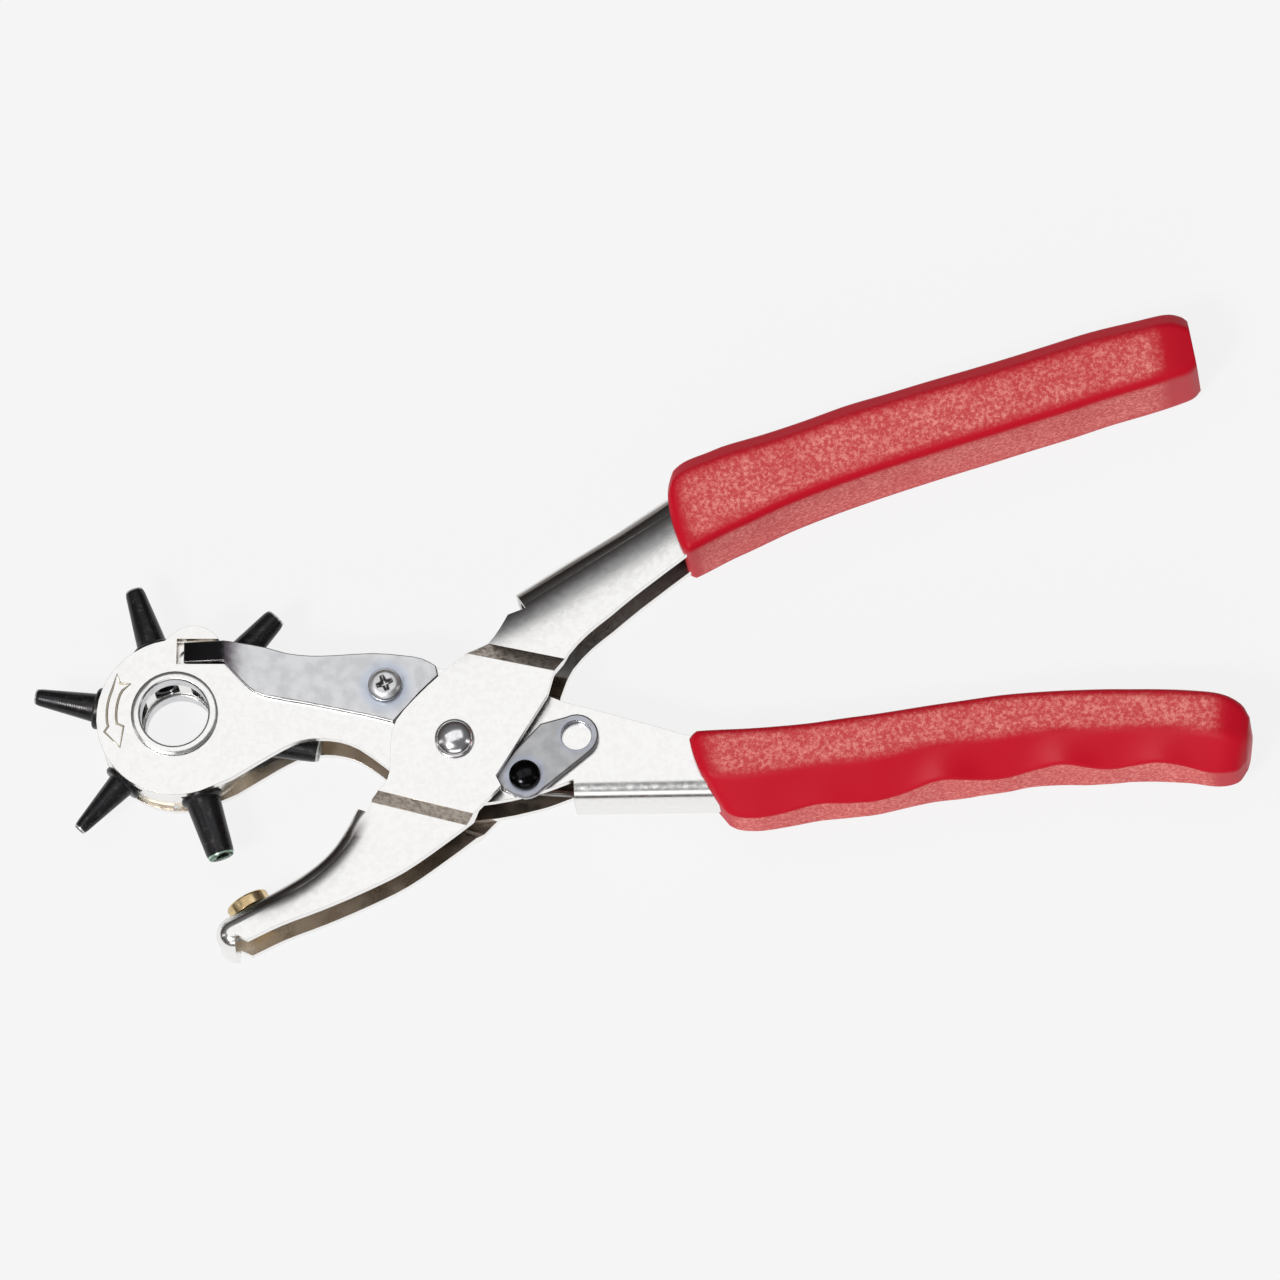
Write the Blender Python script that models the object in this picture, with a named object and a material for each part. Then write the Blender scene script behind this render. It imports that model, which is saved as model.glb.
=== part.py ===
"""Rotary (revolving) hole punch pliers: two pressed steel channel levers crossed on one rivet, a turning
wheel with six screwed-in punch tubes, a brass anvil, and a moulded grip on each handle.

The tool lies on its back. The pivot rivet's axis is Z, its flat rear head touches z = 0, and the wheel
lever runs along X with the wheel at -X and the grips at +X. Rest is the open position.

All numbers below are millimetres and degrees. Meshes are built in millimetres and scaled to metres when
an object is placed. "Plan" is the XY plane, and heights are measured from the tool's mid plane.
"""
import math

import bmesh
import bpy
from mathutils import Matrix, Vector

MM = 0.001

# ---- driving dimensions -------------------------------------------------------------------------------
MID_Z = 9.5                      # mid plane of the tool above the surface it lies on
SHEET = 1.8                      # thickness of both pressed levers
CHANNEL_HALF = 6.5               # half the outer width of a lever's channel
INNER_HALF = CHANNEL_HALF - SHEET
BOSS_FRONT = 10.1                # outer face of the anvil lever's boss, front and rear
BOSS_REAR = 8.6
HANDLE_BEND = 4.0                # outer bend radius of the handle channels
JAW_BEND = 2.6                   # outer bend radius of the jaw channel
GAP = 0.3                        # running gap between neighbours

CLOSE_ANGLE = 11.0               # turn of the anvil lever from open to closed

WHEEL_CENTRE = Vector((-51.3, 5.7))
HEAD_CENTRE = Vector((-50.9, 5.1))
HEAD_RADIUS = 14.6
WHEEL_RADIUS = 14.4
WHEEL_FLAT = 13.9
WHEEL_HALF = 4.3
WHEEL_BORE = 6.6
BUSH_BORE = 6.2
BUSH_RADIUS = 7.0
BUSH_FLANGE = 7.9
BUSH_END = 3.6                   # height of a bush's inner end, inside the wheel's counterbore

PUNCH_HOLES = (3.5, 3.0, 2.5, 2.0, 4.5, 4.0)   # hole made by each tube, anticlockwise from the first
FIRST_PUNCH = 49.0
PUNCH_STEP = 60.0
ACTIVE_PUNCH = 289.0             # direction of the tube that faces the anvil
TUBE_TIP = 26.5                  # distances from the wheel's centre
TUBE_COLLAR = 15.3
COLLAR_SEAT = 14.2
SHANK_END = 6.9
SHANK_RADIUS = 2.7
COLLAR_RADIUS = 3.8

ANVIL_RADIUS = 4.0
ANVIL_HEIGHT = 2.2
ANVIL_SHANK = 1.6

RIVET_SHANK = 2.4
RIVET_DOME = 3.6
RIVET_REAR = 5.0

PILLAR = Vector((-13.0, 10.6))
PILLAR_RADIUS = 3.0
SCREW_SHANK = 1.4
SCREW_HEAD = 3.1

INDEX_SPRING_Z = CHANNEL_HALF + GAP
INDEX_SPRING_SHEET = 1.0

CATCH_RIVET = Vector((12.7, -6.3))
CATCH_EYE = Vector((21.85, 1.3))
CATCH_SHEET = 1.2
CATCH_Z = CHANNEL_HALF + GAP

SPRING_WIRE = 0.6
SPRING_COIL = 5.7

GRIP_HALF = 9.5
GRIP_CLEARANCE = 0.35

# ---- handle outlines: each station is (edge at the hand's side of the tool, opposite edge) ---------------
# The lower handle's web is its bottom edge, the upper handle's web is its top edge.
LOWER_METAL = [((46.6, -10.2), (44.0, 1.3)), ((58, -9.4), (57.5, 0.9)), ((72, -7.5), (71.5, 2.2)),
               ((87, -4.6), (86, 4.2)), ((101, -2.9), (100.5, 6.0)), ((115, -1.7), (115, 7.1)),
               ((136, -1.4), (136, 7.1))]
UPPER_METAL = [((41.8, 36.4), (38.9, 48.5)), ((47, 40.2), (43.2, 51.0)), ((58, 46.2), (53.7, 55.8)),
               ((71.5, 51.7), (67.3, 60.4)), ((84.5, 56.6), (80.9, 64.6)), ((95.5, 60.4), (91.9, 68.0)),
               ((111, 65.9), (107.4, 72.9)), ((123.5, 69.8), (120.9, 76.7))]
LOWER_GRIP = [((47.4, -11.8), (43.3, 2.3)), ((50.5, -13.1), (47.5, 2.4)), ((55, -13.2), (52.5, 2.5)),
              ((60, -12.3), (58, 2.9)), ((65.5, -11.0), (64, 3.5)), ((71, -10.6), (70, 4.4)),
              ((76, -10.1), (75, 5.1)), ((81, -8.8), (80, 5.9)), ((87, -7.0), (86, 6.9)),
              ((93, -6.5), (92, 7.8)), ((99, -5.9), (98, 8.7)), ((104, -4.7), (103, 9.2)),
              ((109.5, -3.9), (109, 9.6)), ((114.5, -4.2), (114, 9.8)), ((118.5, -4.2), (118, 9.9)),
              ((122.5, -3.7), (122, 9.9)), ((127, -3.4), (127, 9.9)), ((132, -3.9), (132.5, 9.7)),
              ((137, -4.8), (138, 9.1)), ((141, -4.3), (141.8, 7.4)), ((142.8, -2.2), (143.4, 5.2))]
UPPER_GRIP = [((41.9, 35.2), (38.4, 50.6)), ((44.7, 36.8), (40.9, 53.3)), ((48.3, 39.0), (44.5, 55.0)),
              ((52, 40.8), (47.9, 56.4)), ((59.1, 44.3), (54.8, 58.5)), ((66.3, 47.3), (62, 61.0)),
              ((73.5, 50.0), (69.4, 63.8)), ((80.7, 52.5), (76.6, 66.0)), ((87.9, 54.9), (83.9, 68.3)),
              ((95.1, 57.2), (91.2, 70.5)), ((102.4, 59.6), (98.6, 72.8)), ((109.6, 61.9), (105.9, 75.2)),
              ((116.8, 64.4), (113.6, 77.7)), ((124, 66.6), (121.5, 79.7)), ((129, 68.3), (127.4, 80.6)),
              ((132.4, 70.4), (130.8, 79.7)), ((133.8, 72.6), (132.4, 77.9))]


# ---- plan geometry ---------------------------------------------------------------------------------------
def direction(angle):
    """Unit vector in plan at an angle in degrees."""
    return Vector((math.cos(math.radians(angle)), math.sin(math.radians(angle))))


def arc(centre, radius, start, end, steps):
    """Points on an arc, both ends included."""
    return [Vector(centre) + radius * direction(start + (end - start) * i / steps) for i in range(steps + 1)]


def smooth(points, steps=3):
    """A Catmull-Rom curve through the points, with steps pieces between two of them."""
    points = [Vector(p) for p in points]
    padded = [2 * points[0] - points[1]] + points + [2 * points[-1] - points[-2]]
    curve = []
    for a, b, c, d in zip(padded, padded[1:], padded[2:], padded[3:]):
        for i in range(steps):
            t = i / steps
            curve.append(0.5 * (2 * b + (c - a) * t + (2 * a - 5 * b + 4 * c - d) * t * t
                                + (3 * b - a - 3 * c + d) * t ** 3))
    return curve + [points[-1]]


def closed_anvil_point():
    """Plan point of the anvil's face in the rest pose, a hair past the active tube's tip when closed."""
    closed = WHEEL_CENTRE + (TUBE_TIP + GAP + 0.1) * direction(ACTIVE_PUNCH)
    return Matrix.Rotation(math.radians(CLOSE_ANGLE), 2) @ closed


ANVIL_NORMAL = direction(ACTIVE_PUNCH - 180 + CLOSE_ANGLE)
ANVIL_FACE = closed_anvil_point()
ANVIL_SEAT = ANVIL_FACE - (ANVIL_HEIGHT + GAP) * ANVIL_NORMAL


# ---- mesh helpers ----------------------------------------------------------------------------------------
def to_object(name, bm):
    """A new object from a bmesh, in millimetres."""
    bmesh.ops.remove_doubles(bm, verts=bm.verts, dist=1e-4)
    bmesh.ops.recalc_face_normals(bm, faces=bm.faces)
    mesh = bpy.data.meshes.new(name)
    bm.to_mesh(mesh)
    bm.free()
    body = bpy.data.objects.new(name, mesh)
    bpy.context.scene.collection.objects.link(body)
    return body


def prism(outline, low, high):
    """A plan outline extruded between two heights."""
    bm = bmesh.new()
    bottom = [bm.verts.new((p[0], p[1], low)) for p in outline]
    face = bm.faces.new(bottom)
    raised = bmesh.ops.extrude_face_region(bm, geom=[face])
    verts = [v for v in raised["geom"] if isinstance(v, bmesh.types.BMVert)]
    bmesh.ops.translate(bm, verts=verts, vec=(0, 0, high - low))
    return bm


def turned(profile, segments, closed_loop=False):
    """A profile of (radius, height) points turned about Z. A point at radius 0 is a pole."""
    bm = bmesh.new()
    rings = []
    for radius, height in profile:
        if radius == 0:
            rings.append([bm.verts.new((0, 0, height))])
        else:
            spots = [radius * direction(360 * i / segments) for i in range(segments)]
            rings.append([bm.verts.new((p.x, p.y, height)) for p in spots])
    pairs = list(zip(rings, rings[1:]))
    if closed_loop:
        pairs.append((rings[-1], rings[0]))
    for lower, upper in pairs:
        for i in range(segments):
            j = (i + 1) % segments
            if len(lower) == 1:
                bm.faces.new((lower[0], upper[j], upper[i]))
            elif len(upper) == 1:
                bm.faces.new((lower[i], lower[j], upper[0]))
            else:
                bm.faces.new((lower[i], lower[j], upper[j], upper[i]))
    return bm


def cylinder(radius, low, high, segments=24):
    """A solid cylinder about Z."""
    return turned([(0, low), (radius, low), (radius, high), (0, high)], segments)


def moved(bm, matrix):
    """The same bmesh after a transform."""
    bm.transform(matrix)
    return bm


def at_plan(point, height=0.0):
    """Translation to a plan point."""
    return Matrix.Translation((point[0], point[1], height))


def along_plan(point, angle):
    """Turns Z into the plan direction at an angle, starting from a plan point."""
    aim = Vector((*direction(angle), 0)).to_track_quat("Z", "Y").to_matrix().to_4x4()
    return at_plan(point) @ aim


def joined(shapes):
    """Several bmeshes in one."""
    bm = bmesh.new()
    for shape in shapes:
        mesh = bpy.data.meshes.new("shape")
        shape.to_mesh(mesh)
        shape.free()
        bm.from_mesh(mesh)
        bpy.data.meshes.remove(mesh)
    return bm


def combine(body, tools, operation="DIFFERENCE"):
    """Applies a Boolean with each tool shape in turn, and removes the tools."""
    for tool in tools:
        helper = to_object("tool", tool)
        modifier = body.modifiers.new("combine", "BOOLEAN")
        modifier.object = helper
        modifier.operation = operation
        apply_modifiers(body)
        bpy.data.objects.remove(helper)
    return body


def apply_modifiers(body):
    """Replaces an object's mesh with its evaluated one."""
    graph = bpy.context.evaluated_depsgraph_get()
    mesh = bpy.data.meshes.new_from_object(body.evaluated_get(graph))
    body.modifiers.clear()
    body.data = mesh


def bevel_edges(bm, chosen, width, segments=1):
    """Bevels the edges for which chosen(edge) is true."""
    edges = [edge for edge in bm.edges if chosen(edge)]
    bmesh.ops.bevel(bm, geom=edges, offset=width, segments=segments, profile=0.5, affect="EDGES")
    return bm


def flat_rims(bm, heights):
    """Bevel test: edges that lie in one of the given horizontal planes, between a flat and a wall."""
    def chosen(edge):
        on_plane = any(all(abs(v.co.z - h) < 1e-4 for v in edge.verts) for h in heights)
        return on_plane and edge.calc_face_angle(0) > math.radians(60)
    return chosen


def place(body, parent, material, origin=(0, 0), sharp=35):
    """Finishes an object: metres, origin on a plan point, raised to the mid plane, parent, material."""
    scale = Matrix.Scale(MM, 4)
    body.data.transform(scale @ at_plan((-origin[0], -origin[1])))
    body.data.shade_smooth()
    body.data.set_sharp_from_angle(angle=math.radians(sharp))
    body.data.materials.clear()
    body.data.materials.append(material)
    body.parent = parent
    base = parent.location
    body.location = (origin[0] * MM - base.x, origin[1] * MM - base.y, MID_Z * MM - base.z)
    return body


def material(name, colour, roughness, metallic):
    """A plain Principled material."""
    made = bpy.data.materials.new(name)
    made.use_nodes = True
    shader = made.node_tree.nodes["Principled BSDF"]
    shader.inputs["Base Color"].default_value = (*colour, 1)
    shader.inputs["Roughness"].default_value = roughness
    shader.inputs["Metallic"].default_value = metallic
    return made


def pivot_empty(name, point):
    """A parent empty on a joint's axis."""
    empty = bpy.data.objects.new(name, None)
    empty.location = (point[0] * MM, point[1] * MM, 0)
    bpy.context.scene.collection.objects.link(empty)
    return empty


# ---- pressed channel levers ------------------------------------------------------------------------------
def fold_column(point, inward, bend, inset):
    """Points across one bend, the web and the other bend, from the front flat to the rear flat.

    The inset is the depth below the outer surface, so the sheet's inner surface uses the same function.
    """
    steps = 4
    half = []
    for i in range(steps + 1):
        turn = math.radians(90 * i / steps)
        plan = Vector(point) + inward * (bend - (bend - inset) * math.sin(turn))
        half.append(Vector((*plan, CHANNEL_HALF - inset - (bend - inset) * (1 - math.cos(turn)))))
    return half + [Vector((p.x, p.y, -p.z)) for p in reversed(half)]


def channel_skin(spans):
    """The outer skin of a pressed channel, and the inner position of each vertex in a fold.

    The spans run anticlockwise round the plan outline. A span is (points, bend). Bend 0 is a free edge,
    and any other bend folds the sheet along the points and carries it across as the web.
    """
    bm = bmesh.new()
    front_loop, rear_loop = [], []
    folded = {}
    for points, bend in spans:
        if bend == 0:
            for p in points:
                front_loop.append(bm.verts.new((p[0], p[1], CHANNEL_HALF)))
                rear_loop.append(bm.verts.new((p[0], p[1], -CHANNEL_HALF)))
            continue
        columns = []
        for i, p in enumerate(points):
            run = (Vector(points[min(i + 1, len(points) - 1)]) - Vector(points[max(i - 1, 0)])).normalized()
            inward = Vector((-run.y, run.x))
            column = [bm.verts.new(co) for co in fold_column(p, inward, bend, 0)]
            inner = fold_column(p, inward, bend, SHEET)
            folded.update(zip(column[1:-1], inner[1:-1]))
            columns.append(column)
        for here, there in zip(columns, columns[1:]):
            for k in range(len(here) - 1):
                bm.faces.new((there[k], here[k], here[k + 1], there[k + 1]))
        front_loop += [column[0] for column in columns]
        rear_loop += [column[-1] for column in columns]
    bm.faces.new(front_loop)
    bm.faces.new(rear_loop[::-1])
    return bm, folded


def set_back(boss, width):
    """How far a joggle's fold lines move towards the boss on the sheet's inner surface."""
    return SHEET * math.tan(math.atan2(boss - CHANNEL_HALF, width) / 2)


def flat_height(point, boss, bands, inside):
    """Height of a flat above the mid plane, with the joggles between the boss and the channel."""
    beyond = 0.0
    for angle, distance, width in bands:
        start = distance - (set_back(boss, width) if inside else 0.0)
        beyond = max(beyond, min((point.dot(direction(angle)) - start) / width, 1.0))
    height = boss + (CHANNEL_HALF - boss) * beyond if bands else CHANNEL_HALF
    return height - (SHEET if inside else 0.0)


def pressed(name, spans, bands=()):
    """A pressed lever from its spans. A band (angle, distance, width) is a joggle up to the boss."""
    bm, folded = channel_skin(spans)
    sides = ((1, BOSS_FRONT), (-1, BOSS_REAR))
    for side, boss in sides:
        for angle, distance, width in bands:
            normal = Vector((*direction(angle), 0))
            back = set_back(boss, width)
            for reach in (distance, distance + width, distance - back, distance + width - back):
                bm.normal_update()
                flats = [f for f in bm.faces if f.normal.z * side > 0.999]
                geom = list({e for f in flats for e in f.edges}) + list({v for f in flats for v in f.verts})
                bmesh.ops.bisect_plane(bm, geom=flats + geom, plane_co=normal * reach, plane_no=normal)
    outer_faces, rim = list(bm.faces), [e for e in bm.edges if e.is_boundary]
    inner = {}
    for vert in list(bm.verts):
        if vert in folded:
            inner[vert] = bm.verts.new(folded[vert])
            continue
        side, boss = sides[0] if vert.co.z > 0 else sides[1]
        plan = vert.co.xy
        inner[vert] = bm.verts.new((*plan, side * flat_height(plan, boss, bands, True)))
        vert.co.z = side * flat_height(plan, boss, bands, False)
    for face in outer_faces:
        bm.faces.new([inner[v] for v in reversed(face.verts)])
    for edge in rim:
        a, b = edge.verts
        bm.faces.new((a, b, inner[b], inner[a]))
    return to_object(name, bm)


def wheel_lever(parent, finish):
    """The fixed lever: two cheeks round the wheel, the neck, the pivot zone and the lower handle."""
    webs = [station[0] for station in LOWER_METAL]
    free = [station[1] for station in LOWER_METAL][::-1]
    head = arc(HEAD_CENTRE, HEAD_RADIUS, 100, 296, 26)
    neck = smooth([(-40.6, -6.3), (-35.6, -3.2), (-31.6, -0.8), (-28.2, 0.7), (-24.8, 1.1), (-21.3, 0.8),
                   (-17.6, -0.6), (-12.6, -4.2), (-7, -8.6), (0, -11.2), (7, -10.8), (12.7, -9.6),
                   (16.3, -8.6), (19.4, -7.4)], 2)
    bottom = smooth([(21.5, -10.6)] + webs, 2)
    top = smooth(free + [(37.2, 3.1), (25.3, 6.4), (19.4, 7.9), (12, 11), (5, 13.2), (-2, 14.0),
                         (-8, 15.3), (-15.5, 16.1), (-22.3, 15.8), (-28, 15.7), (-35, 17.2)], 2)
    lug = arc((-48.2, 16.8), 5.5, 15, 122, 8)
    body = pressed("wheel_lever", [(head + neck, 0), (bottom, HANDLE_BEND), (top + lug, 0)])
    through = CHANNEL_HALF + 2
    holes = [moved(cylinder(BUSH_RADIUS + GAP, -through, through, 40), at_plan(WHEEL_CENTRE)),
             cylinder(RIVET_SHANK + GAP, -through, through),
             moved(cylinder(SCREW_SHANK + GAP, -through, through, 16), at_plan(PILLAR)),
             moved(cylinder(1.3 + GAP, 0, through, 16), at_plan(CATCH_RIVET))]
    window = prism([(-51.2, 15.1), (-41.3, 15.1), (-41.3, 19.8), (-51.2, 19.8)], 2, through)
    combine(body, [joined(holes), window])
    return place(body, parent, finish)


def anvil_lever(parent, finish):
    """The moving lever: the channel jaw with the anvil, the boss and the upper handle."""
    along = -ANVIL_NORMAL.orthogonal()
    seat_end = ANVIL_SEAT - 5.2 * along
    seat_start = ANVIL_SEAT + 4.3 * along
    tip_radius = 3.2
    tip_centre = seat_end - tip_radius * ANVIL_NORMAL
    normal_angle = math.degrees(math.atan2(ANVIL_NORMAL.y, ANVIL_NORMAL.x))
    tip = arc(tip_centre, tip_radius, normal_angle, 278, 10)
    jaw_web = smooth([(-18, -11.7), (-20.0, -15.6), (-22.6, -19.6), (-26.5, -23.2), seat_start], 3)
    jaw_free = smooth([(-37.0, -36.6), (-31, -33.6), (-23.7, -30.7), (-16.3, -27.4), (-9, -23.6),
                       (-1.8, -18.4), (3.4, -14.3)], 3)
    stop_edge = [Vector((8.6, -8.7)), Vector((7.6, -6.9)), Vector((16.6, 8.3))]
    free = [station[0] for station in UPPER_METAL]
    webs = [station[1] for station in UPPER_METAL][::-1]
    handle_free = smooth([(17.7, 12.6), (20.0, 17.3), (23.4, 21.2), (27.3, 24.5), (32, 28.6)] + free, 2)
    handle_web = smooth(webs + [(28, 40.7), (19.1, 35.1), (9.8, 29.0)], 2)
    boss_left = smooth([(8.8, 24.4), (7.4, 21.8), (5.2, 18.7), (1.7, 16.0), (-2.6, 12.35), (-7.4, 7.6),
                        (-10.7, 3.4), (-11.6, -0.7), (-11.6, -6.0), (-12.8, -8.9), (-15.0, -10.6)], 2)
    spans = [(handle_free, 0), (handle_web, HANDLE_BEND), (boss_left, 0), (jaw_web + tip, JAW_BEND),
             (jaw_free + stop_edge, 0)]
    body = pressed("anvil_lever", spans, [(256, 12.7, 1.5), (78.5, 16.1, 3.5)])
    anvil_hole = cylinder(ANVIL_SHANK + GAP, -4, 2, 20)
    anvil_angle = math.degrees(math.atan2(ANVIL_NORMAL.y, ANVIL_NORMAL.x))
    holes = [cylinder(RIVET_SHANK + GAP, -BOSS_REAR - 2, BOSS_FRONT + 2),
             moved(anvil_hole, along_plan(ANVIL_SEAT, anvil_angle))]
    combine(body, [joined(holes)])
    return place(body, parent, finish)


# ---- grips ------------------------------------------------------------------------------------------------
def section(low, high, half, low_round, high_round):
    """A rounded rectangle standing on the plan line from low to high, 24 points."""
    low, high = Vector(low), Vector(high)
    length = (high - low).length
    run = (high - low) / length
    corners = [(0, -1, low_round, 180), (length, -1, high_round, 270),
               (length, 1, high_round, 0), (0, 1, low_round, 90)]
    points = []
    for s, side, radius, start in corners:
        centre_s = s + radius if s == 0 else s - radius
        centre_z = side * (half - radius)
        for i in range(6):
            turn = direction(start + 90 * i / 5)
            spot = low + run * (centre_s + radius * turn.x)
            points.append(Vector((spot.x, spot.y, centre_z + radius * turn.y)))
    return points


def widened(stations, extra):
    """The stations with both edges moved outwards."""
    wide = []
    for low, high in stations:
        run = (Vector(high) - Vector(low)).normalized()
        wide.append((Vector(low) - run * extra, Vector(high) + run * extra))
    return wide


def grip(name, parent, finish, outer, inner, web_is_low):
    """A moulded sleeve, closed at its end, with a pocket that fits the handle's channel."""
    bm = bmesh.new()
    rings = []
    last = len(outer) - 1
    for i, (low, high) in enumerate(outer):
        half = GRIP_HALF if i < last - 1 else (GRIP_HALF - 0.9 if i == last - 1 else GRIP_HALF - 3.2)
        if i == 0:
            half = GRIP_HALF - 0.7
        radius = min(4.2, 0.42 * (Vector(high) - Vector(low)).length)
        rings.append(section(low, high, half, radius, radius))
    pocket = widened(inner, GRIP_CLEARANCE)
    low, high = pocket[-1]
    step = (Vector(low) - Vector(pocket[-2][0])).normalized() * (2 * GRIP_CLEARANCE)
    pocket[-1] = (Vector(low) + step, Vector(high) + step)
    pocket_half = CHANNEL_HALF + GRIP_CLEARANCE
    web_round, free_round = 2.8, 0.3
    rounds = (web_round, free_round) if web_is_low else (free_round, web_round)
    pocket_rings = [section(a, b, pocket_half, *rounds) for a, b in pocket]
    rings = pocket_rings[::-1] + rings
    made = [[bm.verts.new(co) for co in ring] for ring in rings]
    for here, there in zip(made, made[1:]):
        for i in range(len(here)):
            j = (i + 1) % len(here)
            bm.faces.new((here[i], here[j], there[j], there[i]))
    bm.faces.new(made[0])
    bm.faces.new(made[-1][::-1])
    return place(to_object(name, bm), parent, finish)


# ---- wheel and punch tubes ----------------------------------------------------------------------------------
def punch_wheel(parent, finish):
    """The turned wheel: six spot-faced flats with radial holes, a stepped bore and six detent pockets."""
    half_flat = math.degrees(math.acos(WHEEL_FLAT / WHEEL_RADIUS))
    outline = []
    for k in range(6):
        middle = FIRST_PUNCH + PUNCH_STEP * k
        outline += arc((0, 0), WHEEL_RADIUS, middle + half_flat, middle + PUNCH_STEP - half_flat, 4)
    body = prism(outline, -WHEEL_HALF, WHEEL_HALF)
    bevel_edges(body, flat_rims(body, (-WHEEL_HALF, WHEEL_HALF)), 0.35)
    wheel = to_object("punch_wheel", body)
    counter = BUSH_RADIUS + GAP
    floor = BUSH_END - GAP
    top = WHEEL_HALF + 1
    bore = turned([(0, -top), (counter, -top), (counter, -floor), (WHEEL_BORE, -floor),
                   (WHEEL_BORE, floor), (counter, floor), (counter, top), (0, top)], 36)
    radials, pockets = [], []
    for k in range(6):
        angle = FIRST_PUNCH + PUNCH_STEP * k
        radials.append(moved(cylinder(SHANK_RADIUS + GAP, WHEEL_BORE - 0.4, WHEEL_RADIUS + 1, 20),
                             along_plan((0, 0), angle)))
        spot = 11.0 * direction(angle + PUNCH_STEP / 2)
        pockets.append(moved(cylinder(1.9, WHEEL_HALF - 1.0, top, 14), at_plan(spot)))
    combine(wheel, [bore, joined(radials), joined(pockets)])
    wheel.data.transform(at_plan(WHEEL_CENTRE))
    return place(wheel, parent, finish, WHEEL_CENTRE)


def punch_tube(parent, finish, hole, angle):
    """One screwed-in punch: a shank, a round collar, a tapered tube and a sharpened cutting edge."""
    bore = hole / 2
    root = (3.9 + 0.55 * hole) / 2
    tip = bore + 0.32
    profile = [(bore, SHANK_END), (SHANK_RADIUS, SHANK_END), (SHANK_RADIUS, COLLAR_SEAT),
               (COLLAR_RADIUS - 0.25, COLLAR_SEAT), (COLLAR_RADIUS, COLLAR_SEAT + 0.25),
               (COLLAR_RADIUS, TUBE_COLLAR - 0.3), (COLLAR_RADIUS - 0.3, TUBE_COLLAR),
               (root, TUBE_COLLAR + 0.15), (tip, TUBE_TIP - 1.0), (bore + 0.08, TUBE_TIP), (bore, TUBE_TIP)]
    name = "punch_tube_" + f"{hole:.1f}".replace(".", "_")
    tube = to_object(name, turned(profile, 20, closed_loop=True))
    tube.data.transform(along_plan(WHEEL_CENTRE, angle))
    return place(tube, parent, finish, WHEEL_CENTRE, sharp=25)


def axle_bush(name, side, parent, finish):
    """A flanged bush pressed into one cheek, on which the wheel turns."""
    face = CHANNEL_HALF + GAP
    profile = [(BUSH_BORE, BUSH_END), (BUSH_RADIUS, BUSH_END), (BUSH_RADIUS, face),
               (BUSH_FLANGE, face), (BUSH_FLANGE, face + 0.2), (BUSH_RADIUS + 0.1, face + 0.6),
               (BUSH_BORE + 0.3, face + 0.6), (BUSH_BORE, face + 0.3)]
    bm = turned([(r, side * h) for r, h in profile], 40, closed_loop=True)
    bush = to_object(name, bm)
    bush.data.transform(at_plan(WHEEL_CENTRE))
    return place(bush, parent, finish, sharp=25)


# ---- small parts --------------------------------------------------------------------------------------------
def anvil(parent, finish):
    """The brass anvil: a disc on the jaw's web, with a shank riveted over inside the channel."""
    under = -SHEET - GAP
    profile = [(0, under - 0.7), (2.2, under - 0.7), (2.4, under - 0.4), (2.4, under),
               (ANVIL_SHANK, under), (ANVIL_SHANK, GAP), (ANVIL_RADIUS, GAP),
               (ANVIL_RADIUS, GAP + ANVIL_HEIGHT - 0.3), (ANVIL_RADIUS - 0.3, GAP + ANVIL_HEIGHT),
               (0, GAP + ANVIL_HEIGHT)]
    body = to_object("anvil", turned(profile, 28))
    angle = math.degrees(math.atan2(ANVIL_NORMAL.y, ANVIL_NORMAL.x))
    body.data.transform(along_plan(ANVIL_SEAT, angle))
    return place(body, parent, finish, sharp=25)


def dome(radius, base, height, steps=5):
    """Profile points of a shallow dome from its rim to its crown."""
    points = []
    for i in range(steps + 1):
        turn = math.radians(90 * i / steps)
        points.append((radius * math.cos(turn) if i < steps else 0, base + height * math.sin(turn)))
    return points


def pivot_rivet(parent, finish):
    """The main rivet: domed head at the front, flat head at the back."""
    rear = -MID_Z
    profile = [(0, rear), (RIVET_REAR - 0.2, rear), (RIVET_REAR, rear + 0.2),
               (RIVET_REAR, -BOSS_REAR - GAP), (RIVET_SHANK, -BOSS_REAR - GAP),
               (RIVET_SHANK, BOSS_FRONT + GAP), (RIVET_DOME, BOSS_FRONT + GAP)]
    profile += dome(RIVET_DOME, BOSS_FRONT + GAP + 0.2, 2.0)
    return place(to_object("pivot_rivet", turned(profile, 32)), parent, finish)


def sleeve(name, point, outer, inner, parent, finish):
    """A spacer tube between the wheel lever's two flanges."""
    end = INNER_HALF - GAP
    bm = turned([(inner, -end), (outer, -end), (outer, end), (inner, end)], 24, closed_loop=True)
    body = to_object(name, bm)
    body.data.transform(at_plan(point))
    return place(body, parent, finish)


def cross_recess(depth, face, reach=1.75, width=0.75):
    """Cutter for a cross recess that narrows with depth, sunk from a head's face."""
    outline = []
    for k in range(4):
        arm = direction(90 * k)
        side = direction(90 * k + 90)
        outline += [arm * reach - side * width / 2, arm * reach + side * width / 2]
        outline.append((arm + side) * width * 0.75)
    bm = prism(outline, face - depth, face + 0.5)
    for vert in bm.verts:
        if vert.co.z < face:
            vert.co.x *= 0.45
            vert.co.y *= 0.45
    return bm


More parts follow.
